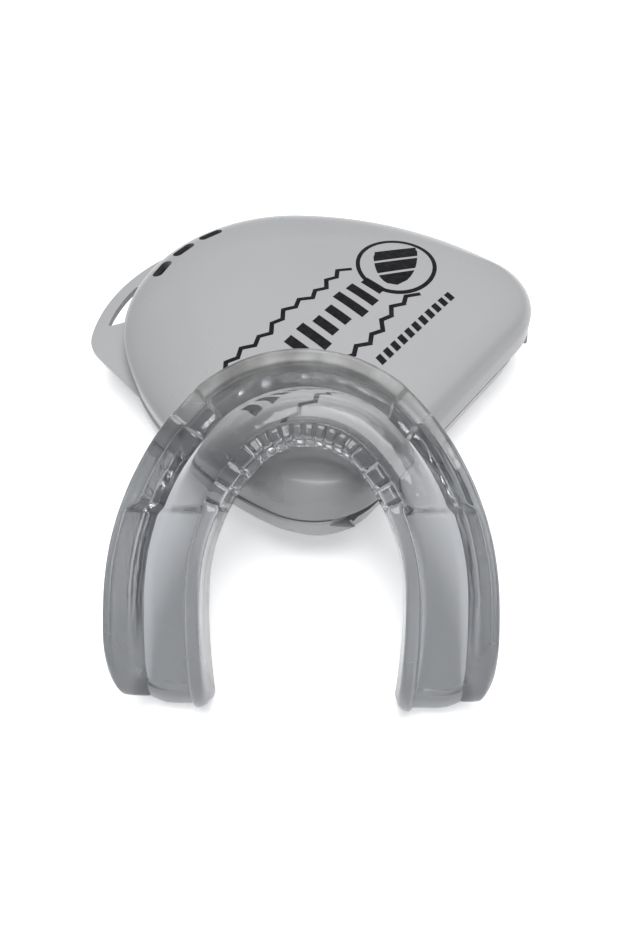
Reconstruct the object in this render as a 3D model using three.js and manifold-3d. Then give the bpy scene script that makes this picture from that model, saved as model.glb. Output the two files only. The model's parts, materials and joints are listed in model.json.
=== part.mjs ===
// A boil-and-bite mouthguard leaning on its closed case. Millimetres, +Z up.
// The origin is the middle of the case's flat underside. The guard's symmetry plane is X = 0 and its legs
// point to -Y. The case has a frame of its own: X along its hinge, Y from the hinge side to the front.
import * as THREE from "three";
import { mergeVertices } from "three/addons/utils/BufferGeometryUtils.js";
import Module from "manifold-3d";

const wasm = await Module();
wasm.setup();

// ---- Driving dimensions ----

const GAP = 0.3; // clearance between neighbours
const DEG = Math.PI / 180;

// The rim outline of the case, and the narrower outline where the lid's top face begins.
const RIM = { width: 86.6, back: 0, front: 84.6, cornerRadius: 18, sideRadius: 73, frontRadius: 37.6 };
const TOP = { width: 77.5, back: 3.5, front: 73, cornerRadius: 15, sideRadius: 89, frontRadius: 18 };
const CASE_ORIGIN_Y = 38; // the case-frame point above the origin
const CASE_TURN = 52.4 * DEG; // the case's turn about +Z

const SEAM_Z = 12.8; // the lid's lower edge
const BAND_TOP = SEAM_Z - GAP;
const BAND_BOTTOM = 8.8;
const LEDGE_Z = 8.2; // the base's top under the hinge
const LIP_TOP = 14.6; // the base's upstanding lip inside the lid
const LID_STRAIGHT_TOP = 16.6; // top of the upright band at the lid's edge
const SHOULDER_Z = 21.4; // the crease where the lid's rounded wall meets its top face
const LID_TOP = 25.4; // the middle of the domed top
const DOME_Y = 34;
const WALL_ARC = 70 * DEG; // the rounded wall's share of a quarter ellipse
const WALL_SHARES = [0.2, 0.4, 0.6, 0.8, 1];
const DOME_SHARES = [0.88, 0.7, 0.45, 0.2];
const BASE_WALL = 1.8;
const LID_WALL = 1.5;
const LID_CEILING = 1.2;
const BAND_INSET = 0.2;
const LID_INSET = 0.6;
const LIP_INSET = LID_INSET + LID_WALL + GAP;
const LIP_THICKNESS = 1.2;
// The base's outside from the underside up to the band, and its inside from the floor up to the lip.
const BOWL_OUTSIDE = [
  { z: 0, inset: 7 },
  { z: 0.7, inset: 5.3 },
  { z: 2.4, inset: 4.2 },
  { z: 8.5, inset: 2.4 },
];
const BOWL_INSIDE = [
  { z: BASE_WALL, inset: 8 },
  { z: 4.2, inset: 5.8 },
  { z: BAND_BOTTOM, inset: 4 },
];

// The three ventilation slots in the lid's front slope. They lean back, so they open towards the hinge side.
const VENTS = { count: 3, spacing: 8.3, length: 6.2, height: 2.4, y: 79.4, z: 20.1, lean: 20 * DEG, arcRadius: 31 };
const VENT_REACH = 4; // half the length of the cut through the wall

// The lanyard ear, a flat plate on the base's rim at the front left.
// Its outline is an arc, a rounded tip, a straight lower edge and two points inside the rim.
const EAR = { x: -6, y: 52, radius: 38.4, bandWidth: 3.3, thickness: 1.7, from: 74 * DEG, to: 128 * DEG };
const EAR_TIP_CONTROL = [-31.9, 80.6];
const EAR_TIP = [-33, 77];
const EAR_ROOT = [-38.2, 58];
const EAR_INSIDE = [[-24, 66], [2, 80]];
const EAR_BELOW_BAND = 0.1; // the plate's top is just under the band's
// The lanyard hole: its outer side follows the ear's arc, its inner side is cut a little into the case's rim.
const HOLE_INTO_RIM = 0.9;
const HOLE_OUTER = { from: 98 * DEG, to: 125 * DEG };
const HOLE_INNER = { from: 122 * DEG, to: 101 * DEG };

// The hinge: lid knuckles between base lugs, on two short pins.
const AXIS = { y: 4.2, z: 12.2 };
const HINGE_X = 16; // middle of each pin
const PIN = { radius: 0.9, length: 11 };
const BORE_RADIUS = PIN.radius + 0.25;
const KNUCKLE_RADIUS = 1.8;
const KNUCKLE_LENGTH = 6;
const LUG_LENGTH = 2.7;
const FENCE = { y: 6.3, thickness: 1.5, shelf: 1.6 }; // closes the base behind the hinge
const HINGE_BAY = 25; // half the width of the recess for the hinge
// Beside the bay the base stays clear of the lid's edge as it opens. The cut ends at y, and its floor
// rises from the ledge at x = ledge to the band's top at x = band.
const SWEEP = { y: 4.9, ledge: 31, band: 37.8 };
const LUG_ARM = 1.4; // half the height of the arm from a lug to the fence
const GUSSET = { below: 0.6, above: 3.4 }; // the web from a knuckle up to the lid's back wall

// The mouthguard. s runs from the leg ends to the front, h up from the underside.
const GUARD = { width: 63, length: 60, frontRadius: 26, sideRadius: 48, legRadius: 120 };
const GUARD_BAND = 14.2; // outer face to inner face
const OUTER_WALL = { thickness: 3, height: 18 };
const INNER_WALL = { thickness: 3, height: 11 };
const FLOOR_THICKNESS = 3.5;
const FRONT_STEP = { start: 34, rise: 1 }; // the floor is thicker in the front half
const LEG_END = { outerX: 30.1, innerX: 15.7, outerRadius: 7, innerRadius: 2.5 };
const LEG_LIP = { length: 3, height: 4.8 }; // the low wall that closes the channel at a leg's end
const GUARD_TILT = 32 * DEG; // leaning on the lid
const GUARD_FOOT_Y = -79; // the leg ends' lower edge, on the ground

const STEPS = { corner: 6, side: 7, front: 9, leg: 3, round: 24 };

// ---- Outlines ----

function arc(x, y, radius, from, to, steps) {
  return Array.from({ length: steps }, (_, i) => {
    const angle = from + ((to - from) * i) / steps;
    return new THREE.Vector2(x + radius * Math.cos(angle), y + radius * Math.sin(angle));
  });
}

// The left half is the right half mirrored, so the outline runs anticlockwise from the right of the hinge side.
function mirrored(right, apex) {
  const left = right.map((p) => new THREE.Vector2(-p.x, p.y)).reverse();
  return [...right, apex, ...left];
}

// A straight hinge side, then a corner, a side and a front arc, each tangent to the next.
function caseOutline({ width, back, front, cornerRadius, sideRadius, frontRadius }, inset = 0) {
  const sideX = width / 2 - sideRadius;
  const frontY = front - frontRadius;
  const sideY = frontY - Math.sqrt((sideRadius - frontRadius) ** 2 - sideX ** 2);
  const cornerY = back + cornerRadius;
  const cornerX = sideX + Math.sqrt((sideRadius - cornerRadius) ** 2 - (cornerY - sideY) ** 2);
  const cornerEnd = Math.atan2(cornerY - sideY, cornerX - sideX);
  const sideEnd = Math.atan2(frontY - sideY, -sideX);
  const right = [
    ...arc(cornerX, cornerY, cornerRadius - inset, -Math.PI / 2, cornerEnd, STEPS.corner),
    ...arc(sideX, sideY, sideRadius - inset, cornerEnd, sideEnd, STEPS.side),
    ...arc(0, frontY, frontRadius - inset, sideEnd, Math.PI / 2, STEPS.front),
  ];
  return mirrored(right, new THREE.Vector2(0, front - inset));
}

function blendOutline(from, to, share) {
  return from.map((p, i) => p.clone().lerp(to[i], share));
}

function shrinkOutline(outline, share, centreY) {
  return outline.map((p) => new THREE.Vector2(p.x * share, centreY + (p.y - centreY) * share));
}

// One side of the U, from the right leg end round the front to the left leg end.
function guardLine(inset) {
  const { width, length, frontRadius, sideRadius, legRadius } = GUARD;
  const sideX = width / 2 - sideRadius;
  const legX = width / 2 - legRadius;
  const frontS = length - frontRadius;
  const sideS = frontS - Math.sqrt((sideRadius - frontRadius) ** 2 - sideX ** 2);
  const sideEnd = Math.atan2(frontS - sideS, -sideX);
  const right = [
    ...arc(legX, sideS, legRadius - inset, Math.asin(-sideS / (legRadius - inset)), 0, STEPS.leg),
    ...arc(sideX, sideS, sideRadius - inset, 0, sideEnd, STEPS.side),
    ...arc(0, frontS, frontRadius - inset, sideEnd, Math.PI / 2, STEPS.front),
  ];
  return mirrored(right, new THREE.Vector2(0, length - inset));
}

// ---- Solids ----

function solid(geometry) {
  const bare = new THREE.BufferGeometry().setAttribute("position", geometry.getAttribute("position"));
  bare.setIndex(geometry.index);
  const merged = mergeVertices(bare, 1e-4);
  const vertProperties = merged.attributes.position.array;
  const triVerts = new Uint32Array(merged.index.array);
  return new wasm.Manifold(new wasm.Mesh({ numProp: 3, vertProperties, triVerts }));
}

// A closed skin through rings of equal point count, each given as { outline, z }, from the bottom up.
function loft(rings) {
  const count = rings[0].outline.length;
  const last = (rings.length - 1) * count;
  const positions = rings.flatMap(({ outline, z }) => outline.flatMap((p) => [p.x, p.y, z]));
  const index = [];
  for (let ring = 0; ring < rings.length - 1; ring++) {
    for (let i = 0; i < count; i++) {
      const a = ring * count + i;
      const b = ring * count + ((i + 1) % count);
      index.push(a, b, b + count, a, b + count, a + count);
    }
  }
  for (let i = 1; i < count - 1; i++) {
    index.push(0, i + 1, i);
    index.push(last, last + i, last + i + 1);
  }
  const geometry = new THREE.BufferGeometry();
  geometry.setAttribute("position", new THREE.Float32BufferAttribute(positions, 3));
  return solid(geometry.setIndex(index));
}

function box([x0, x1], [y0, y1], [z0, z1]) {
  const geometry = new THREE.BoxGeometry(x1 - x0, y1 - y0, z1 - z0);
  return solid(geometry.translate((x0 + x1) / 2, (y0 + y1) / 2, (z0 + z1) / 2));
}

function prism(shape, z0, z1) {
  const geometry = new THREE.ExtrudeGeometry(shape, { depth: z1 - z0, bevelEnabled: false, curveSegments: 12 });
  return solid(geometry.translate(0, 0, z0));
}

// A rod along the hinge axis, centred at x.
function hingeRod(x, radius, length) {
  const geometry = new THREE.CylinderGeometry(radius, radius, length, STEPS.round);
  return solid(geometry.rotateZ(Math.PI / 2).translate(x, AXIS.y, AXIS.z));
}

function join(solids) {
  return solids.reduce((sum, next) => sum.add(next));
}

// ---- Case base ----

function baseShell() {
  const ring = (z, inset) => ({ outline: caseOutline(RIM, inset), z });
  const rings = (list) => list.map(({ z, inset }) => ring(z, inset));
  const outside = loft([...rings(BOWL_OUTSIDE), ring(BAND_BOTTOM, BAND_INSET), ring(BAND_TOP, BAND_INSET)]);
  const lip = loft([ring(BAND_BOTTOM, LIP_INSET), ring(LIP_TOP, LIP_INSET)]);
  const lipInside = LIP_INSET + LIP_THICKNESS;
  const cavity = loft([...rings(BOWL_INSIDE), ring(BAND_TOP, lipInside), ring(LIP_TOP + 1, lipInside)]);
  return { outside, shell: outside.add(lip).subtract(cavity) };
}

function earPlate() {
  const shape = new THREE.Shape();
  shape.absarc(EAR.x, EAR.y, EAR.radius, EAR.from, EAR.to);
  shape.quadraticCurveTo(...EAR_TIP_CONTROL, ...EAR_TIP);
  [EAR_ROOT, ...EAR_INSIDE].forEach((point) => shape.lineTo(...point));
  return prism(shape, BAND_TOP - EAR.thickness, BAND_TOP - EAR_BELOW_BAND);
}

function earHole() {
  const rimY = RIM.front - RIM.frontRadius;
  const outer = arc(EAR.x, EAR.y, EAR.radius - EAR.bandWidth, HOLE_OUTER.from, HOLE_OUTER.to, STEPS.front);
  const inner = arc(0, rimY, RIM.frontRadius - HOLE_INTO_RIM, HOLE_INNER.from, HOLE_INNER.to, STEPS.front);
  return prism(new THREE.Shape([...outer, ...inner]), BAND_BOTTOM - 1, SEAM_Z);
}

function edgeSweep() {
  const top = LIP_TOP + 1;
  const half = RIM.width / 2;
  const right = [[SWEEP.ledge, LEDGE_Z], [SWEEP.band, BAND_TOP], [half, BAND_TOP], [half, top]];
  const left = right.map(([x, z]) => [-x, z]).reverse();
  const outline = [...right, ...left].map(([x, z]) => new THREE.Vector2(x, z));
  return prism(new THREE.Shape(outline), -SWEEP.y, 1).rotate([90, 0, 0]);
}

function hingeLugs() {
  const offset = (KNUCKLE_LENGTH + LUG_LENGTH) / 2 + GAP;
  const places = [-1, 1].flatMap((side) => [-1, 1].map((end) => side * HINGE_X + end * offset));
  return places.map((x) => {
    const span = [x - LUG_LENGTH / 2, x + LUG_LENGTH / 2];
    const arm = box(span, [AXIS.y, FENCE.y + FENCE.thickness / 2], [AXIS.z - LUG_ARM, AXIS.z + LUG_ARM]);
    return hingeRod(x, KNUCKLE_RADIUS, LUG_LENGTH).add(arm);
  });
}

function hingeBores() {
  return [-1, 1].map((side) => hingeRod(side * HINGE_X, BORE_RADIUS, PIN.length + 4));
}

function caseBase() {
  const { outside, shell } = baseShell();
  const half = RIM.width / 2;
  const fenceBack = FENCE.y + FENCE.thickness;
  const bay = box([-HINGE_BAY, HINGE_BAY], [-1, FENCE.y], [LEDGE_Z, LIP_TOP + 1]);
  const shelf = box([-half, half], [LIP_INSET + 1, fenceBack], [LEDGE_Z - FENCE.shelf, LEDGE_Z]);
  const fence = box([-half, half], [FENCE.y, fenceBack], [LEDGE_Z - FENCE.shelf, BAND_TOP]);
  const closing = shelf.add(fence).intersect(outside);
  return shell
    .add(earPlate())
    .subtract(earHole())
    .subtract(bay)
    .subtract(edgeSweep())
    .add(closing)
    .add(join(hingeLugs()))
    .subtract(join(hingeBores()));
}

// ---- Case lid ----

// The upright edge band, the rounded wall up to the crease, and the domed top.
function lidSkin(inset, drop) {
  const rim = caseOutline(RIM, LID_INSET + inset);
  const crease = caseOutline(TOP, inset);
  const wall = WALL_SHARES.map((share) => ({
    outline: blendOutline(rim, crease, (1 - Math.cos(share * WALL_ARC)) / (1 - Math.cos(WALL_ARC))),
    z: wallZ(share) - drop,
  }));
  const dome = DOME_SHARES.map((share) => ({
    outline: shrinkOutline(crease, share, DOME_Y),
    z: SHOULDER_Z + (LID_TOP - SHOULDER_Z) * (1 - share ** 2) - drop,
  }));
  return [{ outline: rim, z: LID_STRAIGHT_TOP - drop }, ...wall, ...dome];
}

function wallZ(share) {
  return LID_STRAIGHT_TOP + ((SHOULDER_Z - LID_STRAIGHT_TOP) * Math.sin(share * WALL_ARC)) / Math.sin(WALL_ARC);
}

function ventSlots() {
  const { count, spacing, length, height, y, z, lean, arcRadius } = VENTS;
  const reach = (length - height) / 2;
  const shape = new THREE.Shape();
  shape.absarc(reach, 0, height / 2, -Math.PI / 2, Math.PI / 2);
  shape.absarc(-reach, 0, height / 2, Math.PI / 2, (3 * Math.PI) / 2);
  return Array.from({ length: count }, (_, i) => {
    const turn = ((i - (count - 1) / 2) * spacing) / arcRadius;
    const cut = { depth: 2 * VENT_REACH, bevelEnabled: false, curveSegments: 6 };
    const geometry = new THREE.ExtrudeGeometry(shape, cut).translate(0, 0, -VENT_REACH);
    geometry.rotateX(lean).rotateZ(-turn);
    return solid(geometry.translate(arcRadius * Math.sin(turn), y - arcRadius * (1 - Math.cos(turn)), z));
  });
}

function lidKnuckles() {
  return [-1, 1].map((side) => {
    const x = side * HINGE_X;
    const span = [x - KNUCKLE_LENGTH / 2, x + KNUCKLE_LENGTH / 2];
    const gusset = box(span, [LID_INSET + LID_WALL / 2, AXIS.y], [AXIS.z - GUSSET.below, AXIS.z + GUSSET.above]);
    return hingeRod(x, KNUCKLE_RADIUS, KNUCKLE_LENGTH).add(gusset);
  });
}

function caseLid() {
  const rimAt = (inset, z) => ({ outline: caseOutline(RIM, inset), z });
  const outside = loft([rimAt(LID_INSET, SEAM_Z), ...lidSkin(0, 0)]);
  const cavity = loft([rimAt(LID_INSET + LID_WALL, SEAM_Z - 1), ...lidSkin(LID_WALL, LID_CEILING)]);
  return outside
    .subtract(cavity)
    .add(join(lidKnuckles()))
    .subtract(join(hingeBores()))
    .subtract(join(ventSlots()));
}

// ---- Mouthguard ----

function uBand(from, to, h0, h1) {
  return prism(new THREE.Shape([...guardLine(from), ...guardLine(to).reverse()]), h0, h1);
}

// Rounds the leg ends: everything outside this outline is cut away.
function legEndMask() {
  const { outerX, innerX, outerRadius, innerRadius } = LEG_END;
  const wide = GUARD.width / 2 + 1;
  const leg = new THREE.Shape();
  leg.moveTo(wide, GUARD.length + 1);
  leg.lineTo(0, GUARD.length + 1);
  leg.lineTo(0, outerRadius * 2);
  leg.lineTo(innerX, innerRadius);
  leg.absarc(innerX + innerRadius, innerRadius, innerRadius, Math.PI, 1.5 * Math.PI);
  leg.absarc(outerX - outerRadius, outerRadius, outerRadius, -Math.PI / 2, 0);
  leg.lineTo(wide, outerRadius * 2);
  const right = prism(leg, -1, OUTER_WALL.height + 1);
  return right.add(right.mirror([1, 0, 0]));
}

function mouthguard() {
  const innerFrom = GUARD_BAND - INNER_WALL.thickness;
  const wide = GUARD.width / 2;
  const frontHalf = box([-wide, wide], [FRONT_STEP.start, GUARD.length], [0, FLOOR_THICKNESS + FRONT_STEP.rise]);
  const floor = uBand(0, GUARD_BAND, 0, FLOOR_THICKNESS);
  const raisedFloor = uBand(0, GUARD_BAND, 0, FLOOR_THICKNESS + FRONT_STEP.rise).intersect(frontHalf);
  const legEnds = box([-wide, wide], [0, LEG_LIP.length], [0, LEG_LIP.height]);
  const legLips = uBand(0, GUARD_BAND, 0, LEG_LIP.height).intersect(legEnds);
  const outerWall = uBand(0, OUTER_WALL.thickness, 0, OUTER_WALL.height);
  const innerWall = uBand(innerFrom, GUARD_BAND, 0, INNER_WALL.height);
  return join([floor, raisedFloor, legLips, outerWall, innerWall]).intersect(legEndMask());
}

// ---- Assembly ----

function meshOf(name, made, look) {
  const { numProp, vertProperties, triVerts } = made.getMesh();
  const positions = new Float32Array((vertProperties.length / numProp) * 3);
  for (let i = 0; i * 3 < positions.length; i++) {
    positions.set(vertProperties.subarray(i * numProp, i * numProp + 3), i * 3);
  }
  const geometry = new THREE.BufferGeometry();
  geometry.setAttribute("position", new THREE.BufferAttribute(positions, 3));
  geometry.setIndex(new THREE.BufferAttribute(triVerts, 1));
  geometry.computeVertexNormals();
  const mesh = new THREE.Mesh(geometry, new THREE.MeshStandardMaterial(look));
  mesh.name = name;
  return mesh;
}

const SHELL_LOOK = { color: 0xc3c6ca, roughness: 0.32, metalness: 0 };
const PIN_LOOK = { color: 0xb4b7bb, roughness: 0.4, metalness: 0 };
const GUARD_LOOK = { color: 0xc4ccd2, roughness: 0.15, metalness: 0, transparent: true, opacity: 0.4 };

const caseFrame = new THREE.Group();
caseFrame.rotation.z = CASE_TURN;
const caseParts = new THREE.Group();
caseParts.position.y = -CASE_ORIGIN_Y;
caseFrame.add(caseParts);
caseParts.add(meshOf("case_base", caseBase(), SHELL_LOOK));
caseParts.add(meshOf("case_lid", caseLid(), SHELL_LOOK));
for (const [side, place] of [[-1, "left"], [1, "right"]]) {
  const pin = meshOf(`hinge_pin_${place}`, hingeRod(0, PIN.radius, PIN.length), PIN_LOOK);
  pin.position.x = side * HINGE_X;
  caseParts.add(pin);
}

const guard = meshOf("mouthguard", mouthguard(), GUARD_LOOK);
guard.rotation.x = GUARD_TILT;
guard.position.y = GUARD_FOOT_Y;

const group = new THREE.Group();
group.add(caseFrame, guard);

export default group;
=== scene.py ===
"""The looks of a clear mouthguard leaning on its closed plastic case.

Local sizes are millimetres. The case has a frame of its own: X along its hinge, Y from the hinge
side to the front. The guard's has X sideways, Y (called s) from the leg ends to the front, and Z up
from its underside. Places in materials, and those of the lamp and the camera, are metres of the scene.
"""

import json
import math

import bmesh
import bpy
from mathutils import Matrix, Vector, noise
from mathutils.bvhtree import BVHTree


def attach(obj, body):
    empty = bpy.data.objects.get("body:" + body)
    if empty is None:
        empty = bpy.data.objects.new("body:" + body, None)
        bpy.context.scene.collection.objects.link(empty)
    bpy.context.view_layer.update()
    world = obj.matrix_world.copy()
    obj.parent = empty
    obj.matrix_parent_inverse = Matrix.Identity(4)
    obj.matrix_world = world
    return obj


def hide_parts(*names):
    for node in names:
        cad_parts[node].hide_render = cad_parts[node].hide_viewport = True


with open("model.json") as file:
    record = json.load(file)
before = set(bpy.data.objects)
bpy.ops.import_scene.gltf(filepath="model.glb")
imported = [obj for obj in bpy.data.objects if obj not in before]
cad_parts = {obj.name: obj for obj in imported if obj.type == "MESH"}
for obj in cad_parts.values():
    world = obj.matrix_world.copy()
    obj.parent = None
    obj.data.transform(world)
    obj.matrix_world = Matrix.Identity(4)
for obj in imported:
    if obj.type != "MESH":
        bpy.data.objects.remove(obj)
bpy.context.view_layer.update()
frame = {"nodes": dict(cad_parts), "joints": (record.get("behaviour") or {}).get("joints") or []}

# ---- Sizes read from the frame ----

MM = 0.001
DEG = math.pi / 180
NODES = frame["nodes"]
JOINTS = {joint["name"]: joint for joint in frame["joints"]}
HINGE = JOINTS["lid_hinge"]
LIFT = JOINTS["mouthguard_lift"]
AXIS_Y = 4.2  # the hinge axis, from the case's back edge
AXIS_Z = HINGE["pos_m"][2] / MM


def case_matrix():
    turn = math.atan2(HINGE["axis"][1], HINGE["axis"][0])
    place = Matrix.Translation((HINGE["pos_m"][0], HINGE["pos_m"][1], 0))
    turned = place @ Matrix.Rotation(turn, 4, "Z") @ Matrix.Scale(MM, 4)
    return turned @ Matrix.Translation((0, -AXIS_Y, 0))


def extent(node, matrix):
    """Lowest and highest corner of a CAD node in the local frame of this matrix."""
    back = matrix.inverted()
    points = [back @ vertex.co for vertex in NODES[node].data.vertices]
    low = Vector([min(p[i] for p in points) for i in range(3)])
    high = Vector([max(p[i] for p in points) for i in range(3)])
    return low, high


def guard_matrix():
    tilt = math.atan2(-LIFT["axis"][1], LIFT["axis"][2])
    turned = Matrix.Rotation(tilt, 4, "X") @ Matrix.Scale(MM, 4)
    low, high = extent("mouthguard", turned)
    return turned @ Matrix.Translation(((low.x + high.x) / 2, low.y, low.z))


CASE = case_matrix()
GUARD = guard_matrix()
LID_LOW, LID_HIGH = extent("case_lid", CASE)
GUARD_LOW, GUARD_HIGH = extent("mouthguard", GUARD)

# ---- Case dimensions ----

SKIN = 0.06  # the looks stay this far inside the CAD's outside
WELD = 0.001  # points closer than this are joined after cutting
MERGE = 0.00001  # and points of a new mesh that are closer than this
LID_STEP = 0.6  # the lid's edge lies this far inside the rim's outline
LID_INSET = LID_STEP + SKIN
RIM = {
    "width": LID_HIGH.x - LID_LOW.x + 2 * LID_STEP,
    "back": LID_LOW.y - LID_STEP,
    "front": LID_HIGH.y + LID_STEP,
    "corner": 18,
    "side": 73,
    "nose": 37.6,
}
TOP = {"width": 77.5, "back": 3.5, "front": 73, "corner": 15, "side": 89, "nose": 18}
SEAM_Z = 12.8
BAND_TOP = 12.5
BAND_BOTTOM = 8.8
LIP_TOP = 14.6
STRAIGHT_TOP = 16.6
SHOULDER_Z = 21.4
LID_TOP = LID_HIGH.z + 0.1  # the last ring of the dome lies a little below this
DOME_Y = 34
WALL_ARC = 70 * DEG
LID_WALL = 1.5
LID_CEILING = 1.2
CREASE_SOFTNESS = 0.16  # share of the top over which the crease is rounded
OUTSIDE_STEPS = 24
INSIDE_STEPS = 14
# The lid's edge, as (further inwards, above the seam).
LID_EDGE_OUTSIDE = [(0, 2.6), (0, 1.4), (0, 0.35), (0.1, 0.08), (0.35, 0)]
LID_EDGE_INSIDE = [(-0.3, 0), (-0.06, 0.08), (0, 0.3), (0, 1.2)]

VENTS = {"count": 3, "spacing": 8.3, "y": 79.4, "z": 20.1, "arc": 31}
SLOT = {"length": 6.2, "height": 2.4, "reach": 4, "lean": 20 * DEG}
CUTTER_BEVEL = 0.01
EAR = {"x": -6, "y": 52, "radius": 38.3, "band": 3.2, "z": (10.85, 12.35), "bevel": 0.35}
EAR_ARC = (74 * DEG, 128 * DEG)
EAR_TIP = (-31.9, 80.6)
EAR_CORNER = (-32.9, 77)
EAR_ROOT = (-36.6, 56.2)
EAR_INSIDE = [(-24, 66), (2, 80)]
HOLE_INTO_RIM = 0.9
HOLE_OUTER_ARC = (98 * DEG, 125 * DEG)
HOLE_INNER_ARC = (122 * DEG, 101 * DEG)
HOLE_STEPS = 14
HOLE_CORNER = 0.9

HINGE_X = 16
PIN = {"radius": 0.88, "length": 10.9, "softness": 0.25}
BORE = {"radius": 1.15, "length": 15}
KNUCKLE = {"radius": 1.75, "length": 5.9}
GUSSET = {"low": 0.2, "high": 3.3, "past_axis": 0.07}  # joins a knuckle to the lid's wall
LUG = {"length": 2.6, "offset": 4.65}
LUG_ARM = {"past_axis": 0.11, "into_fence": 0.63, "below": 1.33, "above": 1.37}
ARM_INSET = 0.03  # arms and gussets end just inside the rods that they join
ARM_SOFTNESS = 0.12
LEDGE_Z = 8.2
FENCE = {"y": 6.3, "thickness": 1.5, "half": 35, "sunk": 0.5, "below_band": 0.05, "softness": 0.3}
SHELF = {"y": 3.4, "thickness": 1.6, "half": 31, "above_ledge": 0.1}
HINGE_BAY = 25
BAY_TOP = 20
SWEEP = {"y": 4.9, "ledge": 31, "band": 37.8}  # beside the bay the base stays clear of the opening lid

# ---- Print dimensions ----

INK = {"thickness": 0.03, "sunk": 0.02}
ABOVE_LID = 60
BADGE = {"centre": (21.8, 32.2), "half_width": 9.1, "half_depth": 11.6, "turn": -52.4 * DEG, "line": 0.95}
BADGE_PARTS = 4
# The shield's sizes are shares of the badge's. Its stripes are shares of its own height.
SHIELD = {"half": 0.56, "low": -0.72, "height": 1.34, "skew": 0.25, "roundness": 2.6}
SHIELD_TOP = {"from": 0.9, "narrower": 0.94}
SHIELD_STRIPES = [(0, 0.30), (0.36, 0.64), (0.70, 0.97)]
BARS = {"count": 11, "x": -29.8, "pitch": 4.1, "y": 31, "width": 2.3, "slant": 0.14}
BAR_HALF = {"mean": 3.7, "change": 0.9}  # half the height, which changes from bar to bar
DASHES = {"count": 11, "x": -5.2, "pitch": 2.45, "y": (15.4, 17.6), "width": 1.55, "slant": 0.25}
# Start, end, number of teeth, height of the teeth and width of the line.
ZIGZAGS = [((-26, 41), (13.5, 39.3), 9, 1.4, 1.0), ((-31, 20), (15.5, 23), 10, 1.3, 1.0)]

# ---- Guard dimensions ----

GUARD_RIM = {
    "width": GUARD_HIGH.x - GUARD_LOW.x,
    "length": GUARD_HIGH.y - GUARD_LOW.y,
    "nose": 26,
    "side": 48,
    "leg": 120,
}
BAND = 14.2
OUTER_HEIGHT = 18
FLOOR_HEIGHT = 3.6  # the channel's floor
STEP = {"s": 34, "width": 0.9}
LEG_CORNER = {"outer": 7, "inner": 2.5}  # the rounded corners of a leg's end, seen from above
LEG_ROUND = {"length": 2.6, "drop": 1.9, "rise": 0.8, "underside": 3}  # the soft edge over a leg's end
LEG_LIP = {"length": 3, "slope": 0.7, "height": 4.7}  # the low wall that closes the channel
WALL_FALL = {"length": 7.5, "drop": 8.5}  # the walls also come down towards the leg's end
# Cross sections from the outer underside corner round to the inner one: (depth, height, corner softness).
LEG_SECTION = [
    (0, 0, 1.1), (0, 18, 0.6), (1.4, 18, 0.6), (3.3, 3.5, 1.6), (7.2, 3.1, 1.2),
    (10.9, 3.5, 1.4), (11.7, 11, 0.9), (BAND, 11, 0.9), (BAND, 0, 1.1),
]
FRONT_SECTION = [
    (0, 0, 1.1), (0, 18, 0.8), (2.9, 18, 0.8), (4.0, 4.5, 1.2), (7.2, 4.3, 1.2),
    (10.2, 4.5, 1.2), (11.2, 11, 0.9), (BAND, 11, 0.9), (BAND, 0, 1.1),
]
CORNER_STEPS = 7
RUN_PARTS = 9
CORNER_TO_CORNER = CORNER_STEPS + RUN_PARTS  # a section's points from one corner's start to the next's
RIB = {"pitch": 1.7, "half": 0.42, "depth": 0.75, "slant": 0.5}
SIDE_RIB = {"from": 8.5, "pitch": 3.6, "half": 0.6}  # wider facets further from the middle
# A thicker stretch of the outer wall on each side.
BLOCK = {"along": 22, "half": 2.9, "step": 0.8, "drop": 0.5}
# Ranges of depth or height over which the ribs, the blocks and the legs' lips grow or fade.
RIB_FACE = {"depth": (BAND - 0.9, BAND - 0.2), "height": (0.4, 2)}
RIB_CROWN = {"depth": (10.9, 11.4), "height": (7, 10.6)}
BLOCK_WALL = {"depth": (1.2, 2.4), "end": (4.4, 5.2), "height": (4.6, 7)}
BLOCK_RIM_HEIGHT = (15, 17.5)
LIP_OUTER = (1, 2)
LIP_INNER = (BAND - 1.4, BAND - 0.6)
LIP_ABOVE = (1, 2.9)
WAVE = {"scale": 0.09, "height": 0.1}  # the moulding's faint unevenness
STATIONS = {"leg": 44, "side": 130, "nose": 90}  # cross sections on each arc
LEG_SPREAD = 1.6  # above 1 the leg's sections are closer together near its end

# ---- Looks, light and camera, in metres ----

# Two tones each, which the plastic wanders between.
BASE_GREYS = [(0.36, 0.36, 0.365), (0.38, 0.38, 0.385)]
LID_GREYS = [(0.35, 0.35, 0.355), (0.37, 0.37, 0.375)]
PIN_GREYS = [(0.36, 0.36, 0.365), (0.39, 0.39, 0.395)]
LID_WALL_PAINTED_SHADE = 0.76  # painted shade: how much darker the lid's wall is painted
PAINTED_SHADE_Z = (0.016, 0.0225)  # below this stretch
# Painted shade: the guard's legs are coloured grey for the shade of the dark ground under and behind them;
# the front stays clear.
LEG_PAINTED_SHADE = (0.42, 0.43, 0.445)
FRONT_TINT = (1.0, 1.0, 0.995)
LEG_SHADE_Y = (-0.048, -0.034)  # where the legs' painted shade fades out, along the guard
# Painted shade: the front's upper rim is mottled dark grey for the dark surroundings that it shows.
RIM_PAINTED_SHADE = (0.25, 0.25, 0.24)
RIM_PAINTED_SHADE_LIGHT = (0.62, 0.62, 0.60)
FROST = 0.35  # extra roughness of the legs' ends
FROST_Y = (-0.083, -0.066)
RIM_FROST = 0.3  # and of the front's upper rim
RIM_Z = (0.038, 0.043)

FLOOR = {"half": 1.5, "z": -0.0001}
LAMP = {"place": (0.03, -0.02, 0.8), "size": 0.6, "power": 7.3}
SKY_COLOUR = (0.93, 0.95, 1.0)
SKY_STRENGTH = 0.38

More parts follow.
